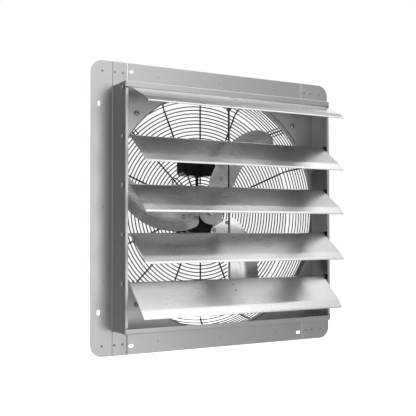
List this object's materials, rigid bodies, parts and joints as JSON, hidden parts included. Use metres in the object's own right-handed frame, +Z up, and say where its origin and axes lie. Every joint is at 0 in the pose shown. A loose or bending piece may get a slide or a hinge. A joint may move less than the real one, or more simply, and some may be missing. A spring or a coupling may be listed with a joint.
{
  "type": "shutter exhaust fan",
  "caption": "Wall exhaust fan in a square flanged sheet-metal frame: tied gravity louvers in front, a paddle-bladed fan in a round opening, motor carried by a wire guard behind.",
  "frame": {"origin": "centre of the round air opening, on the back plane of the mounting flange, which is the face that meets the wall", "axes": "+X to the right seen from the louver side, +Y back through the wall towards the motor, +Z up"},
  "size_m": [0.7, 0.3626, 0.7],
  "materials": {
    "frame_sheet": "satin galvanised sheet",
    "panel_sheet": "satin galvanised sheet",
    "louver_sheet": "satin, fine brushed along its length",
    "blade_sheet": "satin, brushed",
    "guard_wire": "black coat, semi-matte",
    "motor_paint": "black paint, semi-matte",
    "fastener_steel": "zinc plated",
    "shaft_steel": "ground",
    "hub_steel": "zinc plated",
    "winding": "varnished copper winding on laminations",
    "capacitor_case": "matte",
    "rubber": "matte black",
    "nylon": "black, matte",
    "link_zinc": "zinc plated"
  },
  "bodies": {
    "shutter_frame": {"left_rail": "frame_sheet", "right_rail": "frame_sheet", "top_rail": "frame_sheet", "bottom_rail": "frame_sheet", "venturi_panel": "panel_sheet", "guard_face": "guard_wire", "guard_side": "guard_wire", "guard_bolt_1": "fastener_steel", "guard_bolt_2": "fastener_steel", "guard_bolt_3": "fastener_steel", "guard_bolt_4": "fastener_steel", "motor_front_cap": "motor_paint", "motor_housing": "motor_paint", "motor_rear_cap": "motor_paint", "stator": "winding", "front_bearing": "shaft_steel", "rear_bearing": "shaft_steel", "motor_bolt_1": "fastener_steel", "motor_bolt_2": "fastener_steel", "motor_bolt_3": "fastener_steel", "motor_bolt_4": "fastener_steel", "junction_box": "motor_paint", "junction_box_lid": "motor_paint", "run_capacitor": "capacitor_case", "lead_grommet": "rubber", "inlet_gland": "nylon", "motor_lead": "rubber", "pivot_bush_left_1": "nylon", "pivot_bush_right_1": "nylon", "pivot_bush_left_2": "nylon", "pivot_bush_right_2": "nylon", "pivot_bush_left_3": "nylon", "pivot_bush_right_3": "nylon", "pivot_bush_left_4": "nylon", "pivot_bush_right_4": "nylon", "pivot_bush_left_5": "nylon", "pivot_bush_right_5": "nylon"},
    "fan": {"fan_hub": "hub_steel", "hub_spider": "hub_steel", "fan_blade_1": "blade_sheet", "fan_blade_2": "blade_sheet", "fan_blade_3": "blade_sheet", "motor_shaft": "shaft_steel", "rotor_core": "shaft_steel"},
    "louver_1_body": {"louver_1": "louver_sheet", "louver_rod_1": "shaft_steel", "louver_clip_1": "link_zinc"},
    "louver_2_body": {"louver_2": "louver_sheet", "louver_rod_2": "shaft_steel", "louver_clip_2": "link_zinc"},
    "louver_3_body": {"louver_3": "louver_sheet", "louver_rod_3": "shaft_steel", "louver_clip_3": "link_zinc"},
    "louver_4_body": {"louver_4": "louver_sheet", "louver_rod_4": "shaft_steel", "louver_clip_4": "link_zinc"},
    "louver_5_body": {"louver_5": "louver_sheet", "louver_rod_5": "shaft_steel", "louver_clip_5": "link_zinc"},
    "tie_bar_body": {"tie_bar": "link_zinc"}
  },
  "joints": [
    {"name": "fan_spin", "type": "hinge", "parent": "shutter_frame", "child": "fan", "pos_m": [0, 0.04, 0], "axis": [0, 1, 0], "continuous": true},
    {"name": "louver_1_hinge", "type": "hinge", "parent": "shutter_frame", "child": "louver_1_body", "pos_m": [0, -0.0645, 0.278], "axis": [1, 0, 0], "range_deg": [-0.73, 61.01]},
    {"name": "louver_2_hinge", "type": "hinge", "parent": "shutter_frame", "child": "louver_2_body", "pos_m": [0, -0.0645, 0.1642], "axis": [1, 0, 0], "range_deg": [-0.6, 49.81]},
    {"name": "louver_3_hinge", "type": "hinge", "parent": "shutter_frame", "child": "louver_3_body", "pos_m": [0, -0.0645, 0.0504], "axis": [1, 0, 0], "range_deg": [-0.6, 50.5]},
    {"name": "louver_4_hinge", "type": "hinge", "parent": "shutter_frame", "child": "louver_4_body", "pos_m": [0, -0.0645, -0.0634], "axis": [1, 0, 0], "range_deg": [-0.6, 49.61]},
    {"name": "louver_5_hinge", "type": "hinge", "parent": "shutter_frame", "child": "louver_5_body", "pos_m": [0, -0.0645, -0.1772], "axis": [1, 0, 0], "range_deg": [-0.47, 38.41]},
    {"name": "tie_bar_hinge", "type": "hinge", "parent": "louver_3_body", "child": "tie_bar_body", "pos_m": [0, -0.048, 0.0234], "axis": [1, 0, 0], "range_deg": [-50.52, 0.62]}
  ],
  "couplings": [
    {"joint": "louver_1_hinge", "follows": "louver_3_hinge", "ratio": 1.2079},
    {"joint": "louver_2_hinge", "follows": "louver_3_hinge", "ratio": 0.98614},
    {"joint": "louver_4_hinge", "follows": "louver_3_hinge", "ratio": 0.98218},
    {"joint": "louver_5_hinge", "follows": "louver_3_hinge", "ratio": 0.7604},
    {"joint": "tie_bar_hinge", "follows": "louver_3_hinge", "ratio": -1}
  ]
}
